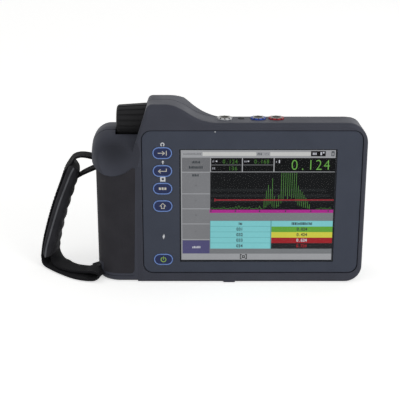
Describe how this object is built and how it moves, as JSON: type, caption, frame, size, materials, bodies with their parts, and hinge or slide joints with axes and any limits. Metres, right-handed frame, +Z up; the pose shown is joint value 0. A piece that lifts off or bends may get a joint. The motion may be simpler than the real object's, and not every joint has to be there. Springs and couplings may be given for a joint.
{
  "type": "ultrasonic flaw detector",
  "caption": "Hand-held ultrasonic flaw detector with a side grip and padded hand strap, a wide colour screen, a column of keys, a fluted turn knob and probe sockets on top.",
  "frame": {"origin": "centre of the housing's width and of the display side's depth, on the plane it stands on", "axes": "+X to the right seen from the front, +Y to the back, +Z up"},
  "size_m": [0.26, 0.074, 0.1415],
  "materials": {
    "housing_plastic": "fine spark-textured moulding",
    "grip_rubber": "soft matt overmould",
    "panel_film": "fine matt hard coat",
    "window": "clear, fine anti-glare coat",
    "display": "lit colour screen",
    "alloy_frame": "cast, as tumbled",
    "board": "green solder mask",
    "shield_tin": "drawn tinplate",
    "key_rubber": "matt moulded",
    "mat_rubber": "moulded silicone",
    "knob_rubber": "fluted, matt",
    "knob_core": "moulded",
    "turned_steel": "turned",
    "encoder_case": "moulded",
    "plated_nut": "milled, thin plating",
    "socket_plate": "nickel plated, turned",
    "ring_white": "moulded",
    "ring_blue": "moulded",
    "ring_red": "moulded",
    "insulator": "turned",
    "plug_black": "sintered, matt",
    "battery_wrap": "shrink film",
    "steel_screw": "rolled, passivated",
    "stand_steel": "drawn and bent rod",
    "seal_rubber": "moulded",
    "port_case": "moulded",
    "webbing": "woven",
    "sleeve_cloth": "padded, coated weave"
  },
  "bodies": {
    "housing": {"front_housing": "housing_plastic", "rear_housing": "housing_plastic", "housing_gasket": "seal_rubber", "front_grip_pad": "grip_rubber", "rear_grip_pad": "grip_rubber", "front_panel": "panel_film", "display_window": "window", "display_module": "display", "display_frame": "alloy_frame", "main_board": "board", "board_shield": "shield_tin", "keypad_mat": "mat_rubber", "keypad_board": "board", "encoder_body": "encoder_case", "encoder_nut": "plated_nut", "output_socket": "socket_plate", "receive_socket": "socket_plate", "transmit_socket": "socket_plate", "output_ring": "ring_white", "receive_ring": "ring_blue", "transmit_ring": "ring_red", "socket_inserts": "insulator", "socket_nuts": "plated_nut", "vent_plug": "plug_black", "battery_pack": "battery_wrap", "battery_door": "housing_plastic", "battery_door_screws": "steel_screw", "housing_screws": "steel_screw", "port_door_pin": "turned_steel", "port_block": "port_case", "upper_strap_bar": "turned_steel", "lower_strap_bar": "turned_steel", "strap_sleeve": "sleeve_cloth", "strap_webbing": "webbing", "strap_lower_webbing": "webbing"},
    "knob": {"knob_sleeve": "knob_rubber", "knob_core": "knob_core", "encoder_shaft": "turned_steel"},
    "key_tab": {"key_tab": "key_rubber"},
    "key_enter": {"key_enter": "key_rubber"},
    "key_escape": {"key_escape": "key_rubber"},
    "key_home": {"key_home": "key_rubber"},
    "key_power": {"key_power": "key_rubber"},
    "stand": {"stand": "stand_steel"},
    "port_door": {"port_door": "seal_rubber"}
  },
  "joints": [
    {"name": "knob_turn", "type": "hinge", "parent": "housing", "child": "knob", "pos_m": [-0.0754, 0.008, 0.124], "axis": [1, 0, 0], "continuous": true},
    {"name": "stand_fold", "type": "hinge", "parent": "housing", "child": "stand", "pos_m": [0.024, 0.025, 0.102], "axis": [1, 0, 0], "range_deg": [0, 38]},
    {"name": "port_door_swing", "type": "hinge", "parent": "housing", "child": "port_door", "pos_m": [0.1026, -0.0024, 0.065], "axis": [0, 0, 1], "range_deg": [0, 95]},
    {"name": "key_tab_press", "type": "slide", "parent": "housing", "child": "key_tab", "axis": [0, 1, 0], "range_m": [0, 0.0007], "stiffness_N_per_m": 1500, "springref_m": -0.0003},
    {"name": "key_enter_press", "type": "slide", "parent": "housing", "child": "key_enter", "axis": [0, 1, 0], "range_m": [0, 0.0007], "stiffness_N_per_m": 1500, "springref_m": -0.0003},
    {"name": "key_escape_press", "type": "slide", "parent": "housing", "child": "key_escape", "axis": [0, 1, 0], "range_m": [0, 0.0007], "stiffness_N_per_m": 1500, "springref_m": -0.0003},
    {"name": "key_home_press", "type": "slide", "parent": "housing", "child": "key_home", "axis": [0, 1, 0], "range_m": [0, 0.0007], "stiffness_N_per_m": 1500, "springref_m": -0.0003},
    {"name": "key_power_press", "type": "slide", "parent": "housing", "child": "key_power", "axis": [0, 1, 0], "range_m": [0, 0.0007], "stiffness_N_per_m": 1500, "springref_m": -0.0003}
  ]
}
